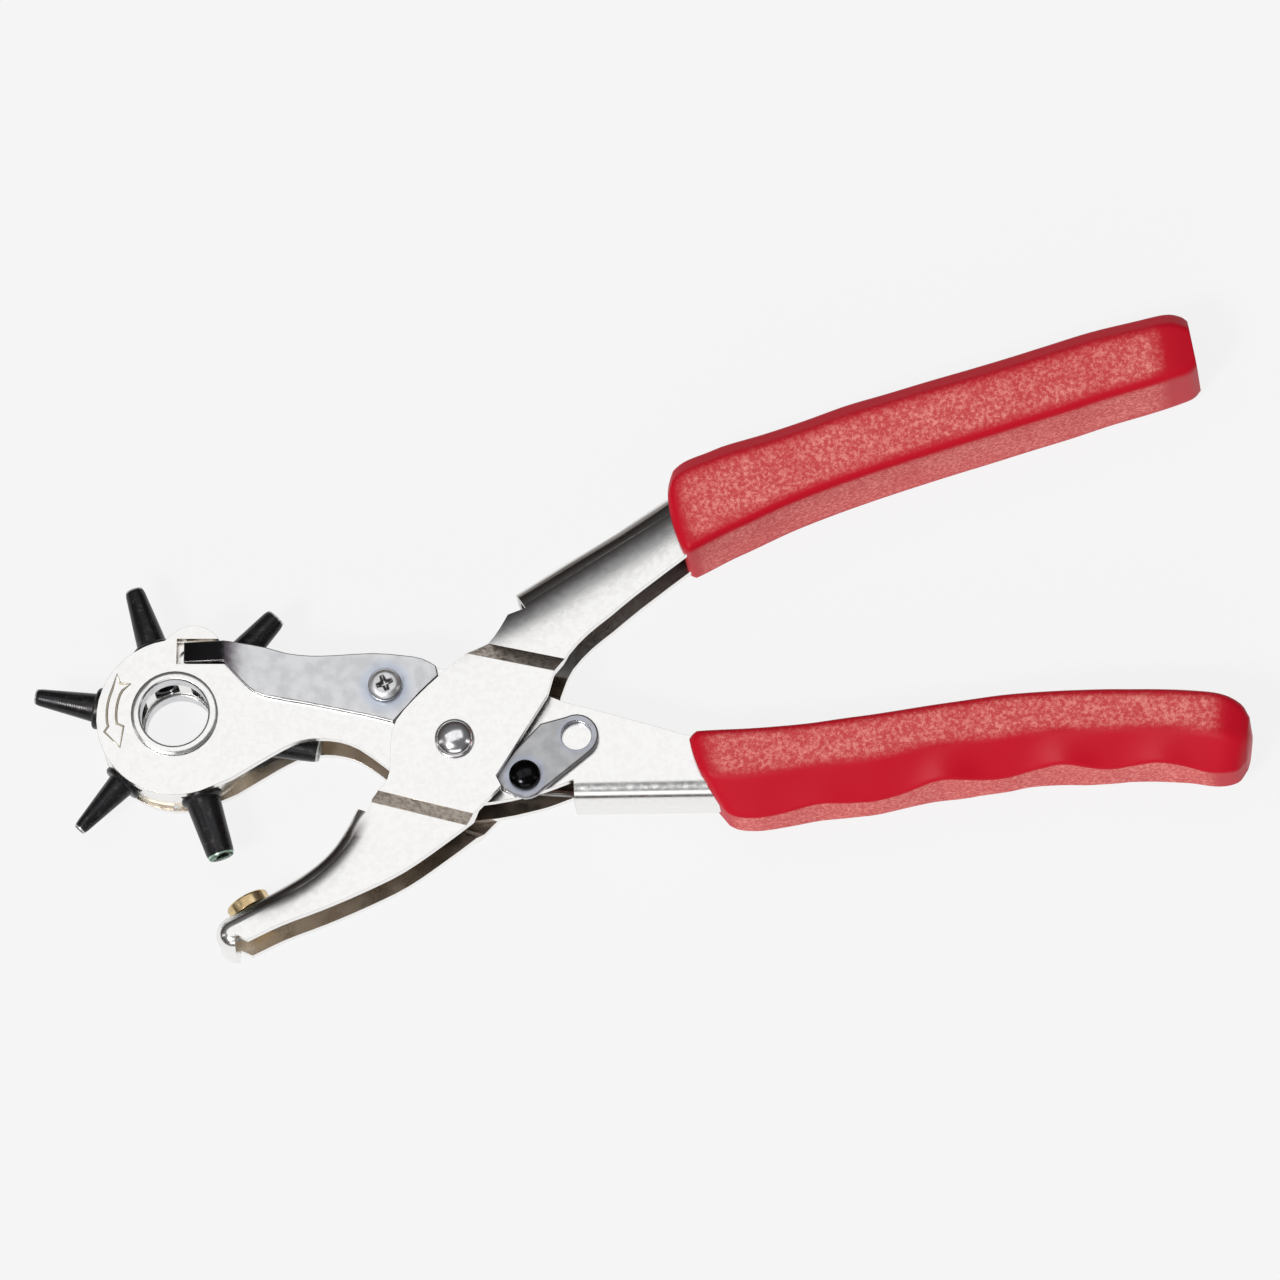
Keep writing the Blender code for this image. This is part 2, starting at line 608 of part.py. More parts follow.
def pillar_screw(name, side, face, parent, finish):
    """A pan-head screw with a cross recess, into one end of the neck pillar."""
    tip = 0.4
    head = 1.7
    profile = [(0, tip), (SCREW_SHANK, tip), (SCREW_SHANK, face), (SCREW_HEAD - 0.15, face),
               (SCREW_HEAD, face + 0.3), (SCREW_HEAD - 0.1, face + head - 0.7),
               (SCREW_HEAD - 0.7, face + head - 0.15), (SCREW_HEAD - 1.3, face + head), (0, face + head)]
    body = to_object(name, turned(profile, 28))
    recess = cross_recess(1.1, face + head)
    bmesh.ops.rotate(recess, verts=recess.verts, matrix=Matrix.Rotation(math.radians(22), 3, "Z"))
    combine(body, [recess])
    if side < 0:
        body.data.transform(Matrix.Rotation(math.pi, 4, "X"))
    body.data.transform(at_plan(PILLAR))
    return place(body, parent, finish)


def index_spring(parent, finish):
    """The flat spring that clicks the wheel round: a blade whose narrow end dips through the cheek."""
    bend_x = -42.6
    dip = 2.1 / 7.4
    upper = smooth([(-42.6, 19.2), (-40.5, 18.9), (-35, 17.9), (-31.2, 16.8), (-26.8, 16.3), (-22.3, 16.4),
                    (-15.5, 16.8), (-10.1, 16.4), (-6.5, 15.8), (-3.9, 14.4)], 2)
    lower = smooth([(-3.5, 12.6), (-6.8, 9.3), (-11.0, 4.4), (-12.0, 4.2), (-17, 5.4), (-26.8, 7.4),
                    (-34.9, 8.9), (-37.7, 10.3), (-40.0, 12.6), (-42.6, 15.4)], 2)
    nose = [Vector((-50.0, 15.6)), Vector((-50.0, 19.4))]
    outline = lower + nose + upper
    blade = prism(outline, INDEX_SPRING_Z, INDEX_SPRING_Z + INDEX_SPRING_SHEET)
    bmesh.ops.bisect_plane(blade, geom=blade.verts[:] + blade.edges[:] + blade.faces[:],
                           plane_co=(bend_x, 0, 0), plane_no=(1, 0, 0))
    for vert in blade.verts:
        if vert.co.x < bend_x:
            vert.co.z += (vert.co.x - bend_x) * dip
    body = to_object("index_spring", blade)
    hole = moved(cylinder(SCREW_SHANK + GAP, 5, 10, 16), at_plan(PILLAR))
    combine(body, [hole])
    return place(body, parent, finish)


def lock_catch(parent, finish):
    """The swinging catch plate, on its own rivet beside the boss, with an eye at its free end."""
    top = CATCH_Z + CATCH_SHEET
    eye_arc = arc(CATCH_EYE, 4.0, -52, 118, 12)
    outline = eye_arc + [Vector(p) for p in ((15.3, 3.5), (10.7, -1.6), (7.55, -6.3), (7.6, -7.0),
                                             (8.5, -8.5), (10.6, -9.8))]
    outline += arc(CATCH_RIVET, 4.2, 270, 318, 3)
    plate = prism(outline, CATCH_Z, top)
    bevel_edges(plate, flat_rims(plate, (top,)), 0.2)
    body = to_object("lock_catch", plate)
    holes = [moved(cylinder(1.3 + GAP, 5, 10, 16), at_plan(CATCH_RIVET)),
             moved(cylinder(2.75, 5, 10, 28), at_plan(CATCH_EYE))]
    combine(body, [joined(holes)])
    return place(body, parent, finish, CATCH_RIVET)


def catch_rivet(parent, finish):
    """The black domed rivet that the catch turns on, clenched inside the channel."""
    head = CATCH_Z + CATCH_SHEET + GAP
    inside = INNER_HALF - GAP
    profile = [(0, inside - 0.8), (2.0, inside - 0.8), (2.2, inside - 0.5), (2.2, inside), (1.3, inside),
               (1.3, head), (2.86, head)]
    profile += dome(2.86, head + 0.2, 1.5)
    body = to_object("catch_rivet", turned(profile, 28))
    body.data.transform(at_plan(CATCH_RIVET))
    return place(body, parent, finish)


def opening_spring(parent, finish):
    """The torsion spring round the pivot sleeve, one leg on each handle's web."""
    lower_rest, upper_rest = Vector((31, -7.7)), Vector((24, 34.9))
    start = math.degrees(math.atan2(lower_rest.y, lower_rest.x)
                         - math.acos(SPRING_COIL / lower_rest.length))
    leave = math.degrees(math.atan2(upper_rest.y, upper_rest.x)
                         + math.acos(SPRING_COIL / upper_rest.length))
    sweep = (start - leave) % 360 + 720
    rise, steps = 4.0, 60
    route = [Vector((*lower_rest, -rise / 2))]
    for i in range(steps + 1):
        plan = SPRING_COIL * direction(start - sweep * i / steps)
        route.append(Vector((*plan, rise * (i / steps - 0.5))))
    route.append(Vector((*upper_rest, rise / 2)))
    curve = bpy.data.curves.new("opening_spring", "CURVE")
    curve.dimensions = "3D"
    curve.bevel_depth = SPRING_WIRE
    curve.bevel_resolution = 1
    curve.use_fill_caps = True
    spline = curve.splines.new("POLY")
    spline.points.add(len(route) - 1)
    for point, co in zip(spline.points, route):
        point.co = (*co, 1)
    wire = bpy.data.objects.new("opening_spring_path", curve)
    bpy.context.scene.collection.objects.link(wire)
    graph = bpy.context.evaluated_depsgraph_get()
    mesh = bpy.data.meshes.new_from_object(wire.evaluated_get(graph))
    bpy.data.objects.remove(wire)
    bm = bmesh.new()
    bm.from_mesh(mesh)
    bpy.data.meshes.remove(mesh)
    return place(to_object("opening_spring", bm), parent, finish, sharp=80)


# ---- assembly ---------------------------------------------------------------------------------------------
def build():
    """Clears the scene and makes every piece."""
    for old in list(bpy.data.objects):
        bpy.data.objects.remove(old)
    nickel = material("nickel_plated_steel", (0.82, 0.80, 0.77), 0.22, 1.0)
    zinc = material("zinc_plated_steel", (0.66, 0.70, 0.75), 0.32, 1.0)
    blued = material("blued_steel", (0.03, 0.032, 0.035), 0.3, 0.8)
    brass = material("brass", (0.72, 0.52, 0.25), 0.3, 1.0)
    spring_steel = material("spring_steel", (0.42, 0.42, 0.43), 0.35, 1.0)
    plastic = material("red_plastic", (0.62, 0.03, 0.04), 0.45, 0.0)

    fixed = pivot_empty("wheel_lever_frame", (0, 0))
    moving = pivot_empty("anvil_lever_pivot", (0, 0))
    wheel = pivot_empty("wheel_axis", WHEEL_CENTRE)
    catch = pivot_empty("catch_axis", CATCH_RIVET)

    wheel_lever(fixed, nickel)
    grip("lower_grip", fixed, plastic, LOWER_GRIP, LOWER_METAL, web_is_low=True)
    pivot_rivet(fixed, zinc)
    sleeve("pivot_sleeve", (0, 0), 4.5, RIVET_SHANK + GAP, fixed, zinc)
    sleeve("neck_pillar", PILLAR, PILLAR_RADIUS, SCREW_SHANK + GAP, fixed, zinc)
    opening_spring(fixed, spring_steel)
    axle_bush("axle_bush_front", 1, fixed, zinc)
    axle_bush("axle_bush_rear", -1, fixed, zinc)
    index_spring(fixed, zinc)
    pillar_screw("index_spring_screw", 1, INDEX_SPRING_Z + INDEX_SPRING_SHEET + GAP, fixed, zinc)
    pillar_screw("pillar_rear_screw", -1, CHANNEL_HALF + GAP, fixed, zinc)
    catch_rivet(fixed, blued)

    anvil_lever(moving, nickel)
    grip("upper_grip", moving, plastic, UPPER_GRIP, UPPER_METAL, web_is_low=False)
    anvil(moving, brass)

    punch_wheel(wheel, nickel)
    for k, hole in enumerate(PUNCH_HOLES):
        punch_tube(wheel, blued, hole, FIRST_PUNCH + PUNCH_STEP * k)

    lock_catch(catch, zinc)


build()
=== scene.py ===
"""Looks for the revolving hole punch: soft sheet edges, moulded grips, plating, studio and camera."""
import math

import bmesh
import bpy
from mathutils import Matrix, Vector
from mathutils.bvhtree import BVHTree
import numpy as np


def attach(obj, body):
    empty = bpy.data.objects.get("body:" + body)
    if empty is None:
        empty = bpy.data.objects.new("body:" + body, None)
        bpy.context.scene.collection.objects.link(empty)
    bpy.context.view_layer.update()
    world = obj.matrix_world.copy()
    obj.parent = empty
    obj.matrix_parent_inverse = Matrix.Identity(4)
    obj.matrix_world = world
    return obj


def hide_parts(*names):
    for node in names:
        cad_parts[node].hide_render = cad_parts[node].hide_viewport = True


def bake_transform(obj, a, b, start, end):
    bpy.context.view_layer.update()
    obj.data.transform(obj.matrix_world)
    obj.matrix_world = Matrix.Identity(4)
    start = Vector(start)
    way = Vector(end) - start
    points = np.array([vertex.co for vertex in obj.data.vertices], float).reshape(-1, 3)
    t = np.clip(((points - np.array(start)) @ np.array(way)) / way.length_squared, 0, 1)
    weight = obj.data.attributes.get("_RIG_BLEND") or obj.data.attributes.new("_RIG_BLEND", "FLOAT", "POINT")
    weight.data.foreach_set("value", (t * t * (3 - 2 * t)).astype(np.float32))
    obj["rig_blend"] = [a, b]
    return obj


MM = 0.001
MID_Z = 9.5                       # mid plane of the tool, mm above the floor
WHEEL_CENTRE = Vector((-51.3, 5.7))
PILLAR = Vector((-13.0, 10.6))
CATCH_RIVET = Vector((12.7, -6.3))
CATCH_EYE = (21.85, 1.3)
WELD = 2e-6                       # vertices closer than this are one, metres

# Where the anvil lever's sheet turns over, in plan, mm: a straight edge and three points of an arc.
HANDLE_FOLD = (Vector((9.8, 29.0)), Vector((43.2, 51.0)))
JAW_FOLD = ((-18, -11.7), (-24.5, -21.6), (-34, -27.4))
# Pressed steps of the anvil lever: direction in degrees, near and far edge from the pivot in mm.
PRESSED_STEPS = ((256, 12.7, 14.2), (78.5, 16.1, 19.6))
# Painted shade along the anvil lever's folds: its strength and its colour.
FOLD_SHADE = 0.80
FOLD_PAINTED_SHADE_COLOUR = (0.10, 0.08, 0.07)

# Lower grip: (hand side edge, opposite edge) in plan, mm. The hand side has four finger hollows.
LOWER_GRIP = [((47.4, -11.8), (43.3, 2.3)), ((50.5, -13.1), (47.5, 2.4)), ((55, -13.2), (52.5, 2.5)),
              ((60, -12.3), (58, 2.9)), ((65.5, -11.0), (64, 3.5)), ((71, -10.6), (70, 4.4)),
              ((76, -10.1), (75, 5.1)), ((81, -8.8), (80, 5.9)), ((87, -7.0), (86, 6.9)),
              ((93, -6.5), (92, 7.8)), ((99, -5.9), (98, 8.7)), ((104, -4.7), (103, 9.2)),
              ((109.5, -3.9), (109, 9.6)), ((114.5, -4.2), (114, 9.8)), ((118.5, -4.2), (118, 9.9)),
              ((122.5, -3.7), (122, 9.9)), ((127, -3.4), (127, 9.9)), ((132, -3.9), (132.5, 9.7)),
              ((137, -4.8), (138, 9.1)), ((141, -4.3), (141.8, 7.4)), ((142.8, -2.2), (143.4, 5.2))]
UPPER_GRIP = [((41.9, 35.2), (38.4, 50.6)), ((44.7, 36.8), (40.9, 53.3)), ((48.3, 39.0), (44.5, 55.0)),
              ((52, 40.8), (47.9, 56.4)), ((59.1, 44.3), (54.8, 58.5)), ((66.3, 47.3), (62, 61.0)),
              ((73.5, 50.0), (69.4, 63.8)), ((80.7, 52.5), (76.6, 66.0)), ((87.9, 54.9), (83.9, 68.3)),
              ((95.1, 57.2), (91.2, 70.5)), ((102.4, 59.6), (98.6, 72.8)), ((109.6, 61.9), (105.9, 75.2)),
              ((116.8, 64.4), (113.6, 77.7)), ((124, 66.6), (121.5, 79.7)), ((129, 68.3), (127.0, 81.0)),
              ((131.8, 69.4), (129.7, 80.8)), ((133.1, 70.8), (131.1, 80.0))]
FINGER_HOLLOWS = ((66.0, 0.45), (88.5, 1.0), (110.0, 1.0), (127.5, 0.8))   # plan x and depth of each
HOLLOW_REACH = 5.6                # how far a finger hollow spreads along the grip, mm
GRIP_HALF = 9.5                   # half the grips' thickness, mm
CURVE_STEPS = 5                   # rings between two stations of a grip
RIM_INSET = 1.1                   # how far the grip's rim is rounded off, mm
RIM_DEPTH = 1.2                   # how far the rim turns in round the handle, mm
LINE_RADIUS = 0.24                # raised line of the arrow, mm

# Camera: the axes it looks along, the middle of its view from the pivot, and the width it sees.
CAMERA_BACK = Vector((0.0743, -0.276, 0.958))
CAMERA_RIGHT = Vector((0.99724, 0.0206, -0.0714))
VIEW_RIGHT, VIEW_UP = 0.03274, 0.02063
FRAME_WIDTH = 0.2317
LENS, SENSOR = 600.0, 36.0


# ---- node helpers --------------------------------------------------------------------------------------
class Graph:
    """A small wrapper that adds nodes to one material or world."""

    def __init__(self, tree):
        self.tree = tree

    def add(self, kind, settings=None, **inputs):
        node = self.tree.nodes.new(kind)
        for key, value in (settings or {}).items():
            setattr(node, key, value)
        for key, value in inputs.items():
            self.put(node, key.replace("_", " "), value)
        return node

    def put(self, node, socket, value):
        target = node.inputs[int(socket)] if socket.isdigit() else node.inputs[socket]
        if isinstance(value, bpy.types.NodeSocket):
            self.tree.links.new(value, target)
        else:
            target.default_value = value

    def math(self, operation, a, b=0.0, clamp=False):
        node = self.add("ShaderNodeMath", {"operation": operation, "use_clamp": clamp})
        self.put(node, "0", a)
        self.put(node, "1", b)
        return node.outputs[0]

    def ramp(self, value, low, high, to_low=0.0, to_high=1.0):
        node = self.add("ShaderNodeMapRange", {"interpolation_type": "SMOOTHSTEP"}, Value=value)
        for key, number in (("From Min", low), ("From Max", high), ("To Min", to_low), ("To Max", to_high)):
            self.put(node, key, number)
        return node.outputs["Result"]

    def mix(self, factor, a, b):
        node = self.add("ShaderNodeMix", {"data_type": "RGBA"})
        self.put(node, "0", factor)
        self.put(node, "6", a if isinstance(a, bpy.types.NodeSocket) else (*a, 1))
        self.put(node, "7", b if isinstance(b, bpy.types.NodeSocket) else (*b, 1))
        return node.outputs[2]

    def noise(self, vector, scale, detail=3.0, roughness=0.55):
        node = self.add("ShaderNodeTexNoise", None, Vector=vector, Scale=scale, Detail=detail,
                        Roughness=roughness)
        return node.outputs["Fac"]

    def position(self):
        return self.add("ShaderNodeTexCoord").outputs["Object"]

    def axes(self):
        return self.add("ShaderNodeSeparateXYZ", None, Vector=self.position()).outputs

    def distance(self, point):
        """Distance in metres from a plan point given in millimetres, measured in plan."""
        x, y, _ = self.axes()
        dx = self.math("SUBTRACT", x, point[0] * MM)
        dy = self.math("SUBTRACT", y, point[1] * MM)
        return self.math("SQRT", self.math("ADD", self.math("MULTIPLY", dx, dx),
                                           self.math("MULTIPLY", dy, dy)))

    def bump(self, height, strength, distance):
        node = self.add("ShaderNodeBump", None, Height=height, Strength=strength, Distance=distance)
        return node.outputs["Normal"]


def new_material(name, **constants):
    """A material with one Principled shader. Constants go on the shader's own sockets."""
    made = bpy.data.materials.new(name)
    made.use_nodes = True
    graph = Graph(made.node_tree)
    shader = made.node_tree.nodes["Principled BSDF"]
    for key, value in constants.items():
        graph.put(shader, key.replace("_", " "), value)
    return made, graph, shader


def metal(name, bright, dull, roughness, grain, patch=250.0, bump=0.10):
    """A plated or turned metal: two tones in soft patches, uneven gloss and a fine skin."""
    made, graph, shader = new_material(name, Metallic=1.0)
    where = graph.position()
    soft = graph.ramp(graph.noise(where, patch, 4.0), 0.35, 0.68)
    fine = graph.noise(where, grain, 4.0, 0.65)
    colour = graph.mix(soft, bright, dull)
    graph.put(shader, "Base Color", colour)
    blend = graph.math("ADD", graph.math("MULTIPLY", soft, 0.6), graph.math("MULTIPLY", fine, 0.4))
    graph.put(shader, "Roughness", graph.ramp(blend, 0.15, 0.85, roughness[0], roughness[1]))
    graph.put(shader, "Normal", graph.bump(fine, bump, 0.00006))
    return made, graph, shader, colour


# ---- materials -------------------------------------------------------------------------------------------
def nickel():
    return metal("nickel_plate", (0.91, 0.905, 0.89), (0.895, 0.885, 0.87), (0.18, 0.23), 2600.0, 900.0)[0]


def polished_nickel():
    return metal("nickel_polished", (0.90, 0.90, 0.93), (0.80, 0.78, 0.78), (0.15, 0.22), 1500.0,
                 900.0, 0.04)[0]


def nickel_step():
    """The pressed steps beside the boss: painted shade, a rough, brownish, dark copy of the nickel for the
    sloping faces.
    """
    return metal("nickel_pressed_step_painted_shade", (0.42, 0.37, 0.32), (0.18, 0.15, 0.13), (0.28, 0.44), 2200.0, 1100.0,
                 0.25)[0]


def circle_through(a, b, c):
    """Centre and radius of the circle through three plan points."""
    a, b, c = Vector(a), Vector(b), Vector(c)
    ab, ac = b - a, c - a
    twist = 2 * (ab.x * ac.y - ab.y * ac.x)
    shift = Vector((ac.y * ab.dot(ab) - ab.y * ac.dot(ac), ab.x * ac.dot(ac) - ac.x * ab.dot(ab))) / twist
    return a + shift, shift.length


def nickel_of_anvil_lever():
    """Nickel whose sheet rolls off softly towards the folds of the upper handle and of the jaw, with a dark
    band of painted shade along each fold.
    """
    made, graph, shader, colour = metal("nickel_anvil_lever", (0.91, 0.905, 0.89), (0.895, 0.885, 0.87),
                                        (0.18, 0.23), 2600.0, 900.0)
    x, y, _ = graph.axes()
    fold_start, fold_end = HANDLE_FOLD
    run = (fold_end - fold_start).normalized()
    inward = Vector((run.y, -run.x))
    reach = graph.math("ADD", graph.math("MULTIPLY", x, inward.x), graph.math("MULTIPLY", y, inward.y))
    handle = graph.math("SUBTRACT", reach, inward.dot(fold_start) * MM)
    centre, radius = circle_through(*JAW_FOLD)
    jaw = graph.math("SUBTRACT", graph.distance(centre), radius * MM)
    on_handle = graph.ramp(y, 0.006, 0.027)
    on_jaw = graph.ramp(y, -0.0125, -0.0175)
    height = 0.0
    # Depth from the fold, where it counts, radius of the bend, width and drop of the roll, in metres.
    folds = ((handle, on_handle, 0.0034, 0.0100, 0.0010), (jaw, on_jaw, 0.0022, 0.0050, 0.0005))
    for depth, on, bend, width, drop in folds:
        past = graph.math("DIVIDE", graph.math("SUBTRACT", depth, bend), width)
        share = graph.math("SUBTRACT", 1.0, graph.math("MAXIMUM", past, 0.0), clamp=True)
        roll = graph.math("MULTIPLY", graph.math("POWER", share, 2.2), graph.math("MULTIPLY", on, -drop))
        height = graph.math("ADD", height, roll)
        # Painted shade: a dark band just inside each fold, mixed into the base colour.
        outer = graph.ramp(depth, 0.0002, 0.0011)
        inner = graph.ramp(depth, bend, 1.9 * bend, 1.0, 0.0)
        band = graph.math("MULTIPLY", outer, inner)
        band = graph.math("MULTIPLY", graph.math("MULTIPLY", band, on), FOLD_SHADE)
        colour = graph.mix(band, colour, FOLD_PAINTED_SHADE_COLOUR)
    graph.put(shader, "Base Color", colour)
    rolled = graph.add("ShaderNodeBump", None, Height=height, Strength=1.0, Distance=1.0)
    skin = shader.inputs["Normal"].links[0].from_node
    graph.put(skin, "Normal", rolled.outputs["Normal"])
    return made


def nickel_edge():
    # Painted shade: dark brown for the softened edges of the levers, drawn as outlines.
    return metal("nickel_dark_edge_painted_shade", (0.60, 0.52, 0.42), (0.40, 0.33, 0.26), (0.24, 0.38), 2600.0)[0]


def nickel_inside():
    """Inner walls of the channels: painted shade, a warm darker copy of the nickel that is bright by the
    mouth of the tool and dark brown by the pivot.
    """
    made, graph, shader, colour = metal("nickel_inside_channel_painted_shade", (0.84, 0.76, 0.64), (0.60, 0.50, 0.40),
                                        (0.26, 0.42), 1900.0, 180.0)
    x = graph.axes()[0]
    uneven = graph.math("MULTIPLY", graph.math("SUBTRACT", graph.noise(graph.position(), 70.0), 0.5), 0.030)
    # Painted shade, darker towards the pivot.
    shade = graph.ramp(graph.math("ADD", x, uneven), -0.027, 0.004, 0.0, 0.78)
    graph.put(shader, "Base Color", graph.mix(shade, colour, (0.13, 0.095, 0.075)))
    return made


def nickel_line():
    # Painted shade: a darker beige than the nickel, so the raised line shows dark.
    return metal("nickel_embossed_line_painted_shade", (0.66, 0.60, 0.48), (0.58, 0.52, 0.40), (0.3, 0.42), 2600.0)[0]


def zinc(name="zinc_plate", tone=1.0):
    bright = tuple(tone * c for c in (0.75, 0.755, 0.765))
    dull = tuple(tone * c for c in (0.69, 0.695, 0.71))
    return metal(name, bright, dull, (0.34, 0.46), 3200.0, 420.0)


def zinc_edge():
    # Painted shade: near black for the softened edges of the zinc plates and screws.
    return metal("zinc_dark_edge_painted_shade", (0.24, 0.23, 0.23), (0.14, 0.13, 0.13), (0.42, 0.56), 3200.0, 420.0)[0]


def index_spring_zinc():
    """Zinc plate with a bluish halo round the screw, and a painted dark reflection on the bent end."""
    made, graph, shader, colour = zinc("zinc_index_spring")
    far = graph.distance(PILLAR)
    halo = graph.ramp(far, 0.0034, 0.0058, 0.7, 0.0)
    colour = graph.mix(halo, colour, (0.50, 0.56, 0.68))
    x = graph.axes()[0]
    uneven = graph.math("MULTIPLY", graph.noise(graph.position(), 700.0), 0.0016)
    edge = graph.math("ADD", x, uneven)
    # Painted reflection: the bent end turns near black, with a violet band before it.
    violet = graph.ramp(edge, -0.0412, -0.0375, 1.0, 0.0)
    colour = graph.mix(violet, colour, (0.17, 0.15, 0.17))
    black = graph.ramp(edge, -0.0425, -0.0402, 1.0, 0.0)
    colour = graph.mix(black, colour, (0.012, 0.012, 0.013))
    graph.put(shader, "Base Color", colour)
    return made


def catch_zinc():
    """Zinc plate with bluish rings round the rivet and the eye."""
    made, graph, shader, colour = zinc("zinc_catch", 0.66)
    near = graph.ramp(graph.distance(CATCH_RIVET), 0.0030, 0.0046, 0.6, 0.0)
    eye = graph.ramp(graph.distance(CATCH_EYE), 0.0029, 0.0040, 0.5, 0.0)
    colour = graph.mix(graph.math("MAXIMUM", near, eye), colour, (0.44, 0.48, 0.60))
    graph.put(shader, "Base Color", colour)
    return made


def black_lacquer():
    return metal("black_rivet", (0.020, 0.020, 0.022), (0.012, 0.012, 0.013), (0.10, 0.18), 2400.0,
                 900.0, 0.03)[0]


def blued(name):
    """Blackened steel with a satin gloss; the punch tubes add brown wear on top."""
    made, graph, shader, _ = metal(name, (0.030, 0.028, 0.030), (0.016, 0.015, 0.016), (0.24, 0.38), 3600.0)
    shader.inputs["Metallic"].default_value = 0.55
    return made, graph, shader


def tube_black(name, edge):
    """Blued punch tubes: fine turning marks along the taper and a ground cutting edge."""
    made, graph, shader = blued(name)
    reach = graph.distance(WHEEL_CENTRE)
    rings = graph.add("ShaderNodeMath", {"operation": "SINE"})
    graph.put(rings, "0", graph.math("MULTIPLY", reach, 14000.0))
    skin = graph.noise(graph.position(), 2600.0, 4.0)
    height = graph.math("ADD", graph.math("MULTIPLY", rings.outputs[0], 0.25), skin)
    graph.put(shader, "Normal", graph.bump(height, 0.16, 0.00005))
    wear = graph.ramp(graph.noise(graph.position(), 900.0, 5.0), 0.52, 0.72)
    colour = graph.mix(wear, (0.017, 0.016, 0.018), (0.055, 0.048, 0.046))
    ground = graph.ramp(reach, 0.02615, 0.02632)
    colour = graph.mix(ground, colour, edge)
    graph.put(shader, "Base Color", colour)
    return made


def brass():
    return metal("brass_turned", (0.80, 0.62, 0.36), (0.56, 0.40, 0.20), (0.20, 0.36), 2400.0, 500.0)[0]


def spring_wire():
    return metal("spring_wire", (0.40, 0.39, 0.38), (0.24, 0.22, 0.21), (0.28, 0.42), 3000.0, 600.0)[0]


def red_plastic():
    """Moulded grip plastic: pebbled on the faces, smooth and deeper red on the bevels; the pebbled faces
    carry a painted sheen of lighter pink speckles.
    """
    made, graph, shader = new_material("red_grip_plastic", Specular_IOR_Level=0.16)
    pebble = graph.add("ShaderNodeAttribute", {"attribute_name": "pebble"}).outputs["Fac"]
    where = graph.position()
    grains = graph.noise(where, 1500.0, 2.0, 0.6)
    fine = graph.noise(where, 3400.0, 3.0, 0.6)
    blotch = graph.noise(where, 130.0, 3.0)
    relief = graph.math("ADD", graph.math("MULTIPLY", grains, 0.65), graph.math("MULTIPLY", fine, 0.35))
    # Painted sheen: lighter pink speckles on the pebbled faces stand for glints on the grain.
    painted_glint_speckle = graph.ramp(relief, 0.42, 0.64)
    light = graph.math("MULTIPLY", pebble, graph.math("ADD", 0.22, graph.math("MULTIPLY", painted_glint_speckle, 0.62)))
    light = graph.math("MULTIPLY", light, graph.ramp(blotch, 0.3, 0.7, 0.82, 1.08))
    colour = graph.mix(light, (0.56, 0.003, 0.018), (0.96, 0.34, 0.30))
    graph.put(shader, "Base Color", colour)
    gloss = graph.math("ADD", 0.46, graph.math("MULTIPLY", pebble, 0.14))
    graph.put(shader, "Roughness", gloss)
    height = graph.math("MULTIPLY", relief, graph.math("ADD", 0.08, pebble))
    graph.put(shader, "Normal", graph.bump(height, 0.55, 0.00022))
    return made


# ---- mesh helpers ------------------------------------------------------------------------------------------
def piece(name, bm, body, materials, nodes=()):
    """A finished visible piece from a bmesh in metres. With no body, the caller lets it bend between two."""
    mesh = bpy.data.meshes.new(name)
    bm.to_mesh(mesh)
    bm.free()
    mesh.shade_smooth()
    made = bpy.data.objects.new(name, mesh)
    bpy.context.scene.collection.objects.link(made)
    for entry in materials:
        mesh.materials.append(entry)
    if body:
        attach(made, body)
    if nodes:
        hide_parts(*nodes)
    return made


def welded(node):
    """A CAD node's mesh as a bmesh, with its flat faces whole again."""
    bm = bmesh.new()
    bm.from_mesh(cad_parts[node].data)
    bmesh.ops.remove_doubles(bm, verts=bm.verts, dist=WELD)
    bmesh.ops.dissolve_limit(bm, angle_limit=math.radians(0.6), verts=bm.verts, edges=bm.edges)
    bmesh.ops.recalc_face_normals(bm, faces=bm.faces)
    return bm


def facing_inwards(bm, reach):
    """Marks the faces that look across a hollow at their own piece."""
    tree = BVHTree.FromBMesh(bm)
    for face in bm.faces:
        start = face.calc_center_median() + face.normal * 2e-5
        if tree.ray_cast(start, face.normal, reach)[0]:
            face.material_index = 1


def mark_step(bm, angle, low, high):
    """Marks the sloping faces in a straight band across the lever."""
    across = Vector((math.cos(math.radians(angle)), math.sin(math.radians(angle)), 0))
    for face in bm.faces:
        reach = face.calc_center_median().dot(across) / MM
        if low < reach < high and 0.2 < abs(face.normal.z) < 0.985 and face.material_index == 0:
            # The marked faces take the step material with painted shade.
            face.material_index = 2


def rounded(node, body, materials, width, angle=32.0, hollow=0.0, steps=()):
    """Stands for a CAD node with the same shape and softened edges, which get the last material.

    Faces that look across a gap of up to hollow metres get the second material.
    """
    bm = welded(node)
    if hollow:
        facing_inwards(bm, hollow)
    for band in steps:
        mark_step(bm, *band)
    made = piece(node + "_finish", bm, body, materials, (node,))
    bevel = made.modifiers.new("soft_edges", "BEVEL")
    bevel.width = width * MM
    bevel.segments = 2
    bevel.limit_method = "ANGLE"
    bevel.angle_limit = math.radians(angle)
    bevel.use_clamp_overlap = True
    bevel.material = len(materials) - 1
    shading = made.modifiers.new("even_shading", "WEIGHTED_NORMAL")
    shading.weight = 100


def smooth(points, steps):
    """A Catmull-Rom curve through the points."""
    points = [Vector(p) for p in points]
    padded = [2 * points[0] - points[1]] + points + [2 * points[-1] - points[-2]]
    curve = []
    for a, b, c, d in zip(padded, padded[1:], padded[2:], padded[3:]):
        for i in range(steps):
            t = i / steps
            curve.append(0.5 * (2 * b + (c - a) * t + (2 * a - 5 * b + 4 * c - d) * t * t
                                + (3 * b - a - 3 * c + d) * t ** 3))
    return curve + [points[-1]]


def ease(value, low, high):
    """0 to 1 between low and high, with soft ends."""
    t = min(max((value - low) / (high - low), 0.0), 1.0)
    return t * t * (3 - 2 * t)


